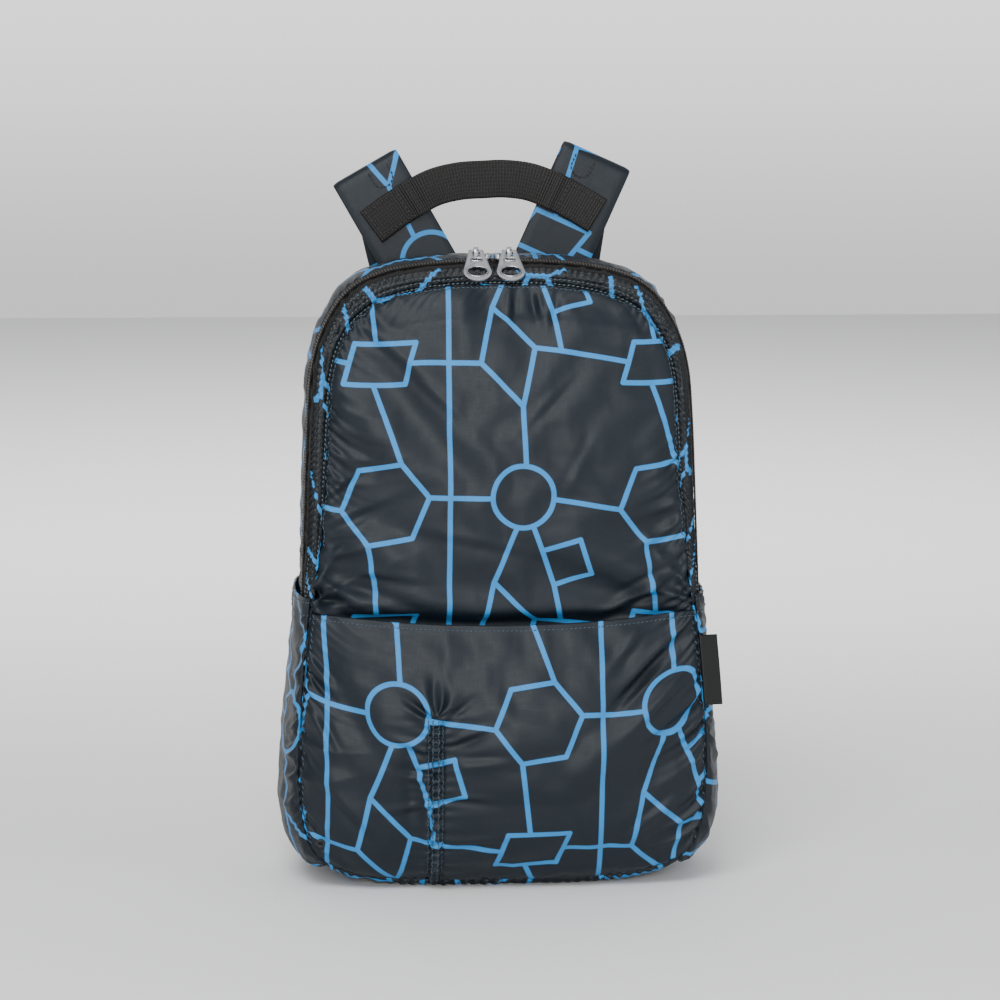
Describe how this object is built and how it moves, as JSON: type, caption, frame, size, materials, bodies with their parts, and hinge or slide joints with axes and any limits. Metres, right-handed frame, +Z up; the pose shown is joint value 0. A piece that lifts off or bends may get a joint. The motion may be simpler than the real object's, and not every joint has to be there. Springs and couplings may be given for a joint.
{
  "type": "packable backpack",
  "caption": "Light packable daypack with an arched two-way zip, a zipped front pocket, open side pockets, folded-over shoulder straps and a webbing haul handle.",
  "frame": {"origin": "on the floor under the middle of the bag's base, where the middle plane of its sides meets it", "axes": "+X to the right as seen from the front, +Y from the front pocket towards the wearer's back, +Z up"},
  "size_m": [0.3128, 0.1933, 0.5145],
  "materials": {
    "printed_nylon": "light glossy woven nylon, dark slate with a light blue line print",
    "plain_nylon": "matte woven nylon",
    "black_webbing": "ribbed black webbing",
    "zip_black": "black nylon coil zip",
    "cast_zinc": "satin die-cast zinc",
    "black_plastic": "moulded black acetal"
  },
  "bodies": {
    "bag": {"front_panel": "printed_nylon", "front_pocket": "printed_nylon", "back_panel": "plain_nylon", "front_band": "printed_nylon", "main_zip_tape": "zip_black", "main_zip_coil": "zip_black", "gusset": "printed_nylon", "base_gusset": "printed_nylon", "front_pocket_zip": "zip_black", "handle": "black_webbing", "side_label": "black_webbing", "side_pocket_left": "printed_nylon", "strap_left": "printed_nylon", "ladder_lock_left": "black_plastic", "webbing_left": "black_webbing", "strap_tab_left": "black_webbing", "slider_left": "cast_zinc", "side_pocket_right": "printed_nylon", "strap_right": "printed_nylon", "ladder_lock_right": "black_plastic", "webbing_right": "black_webbing", "strap_tab_right": "black_webbing", "slider_right": "cast_zinc"},
    "pull_left": {"pull_left": "cast_zinc"},
    "pull_right": {"pull_right": "cast_zinc"}
  },
  "joints": [
    {"name": "pull_left_swing", "type": "hinge", "parent": "bag", "child": "pull_left", "pos_m": [-0.0164, -0.03189, 0.43912], "axis": [-1, 0, 0], "range_deg": [0, 125]},
    {"name": "pull_right_swing", "type": "hinge", "parent": "bag", "child": "pull_right", "pos_m": [0.0064, -0.03189, 0.43912], "axis": [-1, 0, 0], "range_deg": [0, 125]}
  ]
}
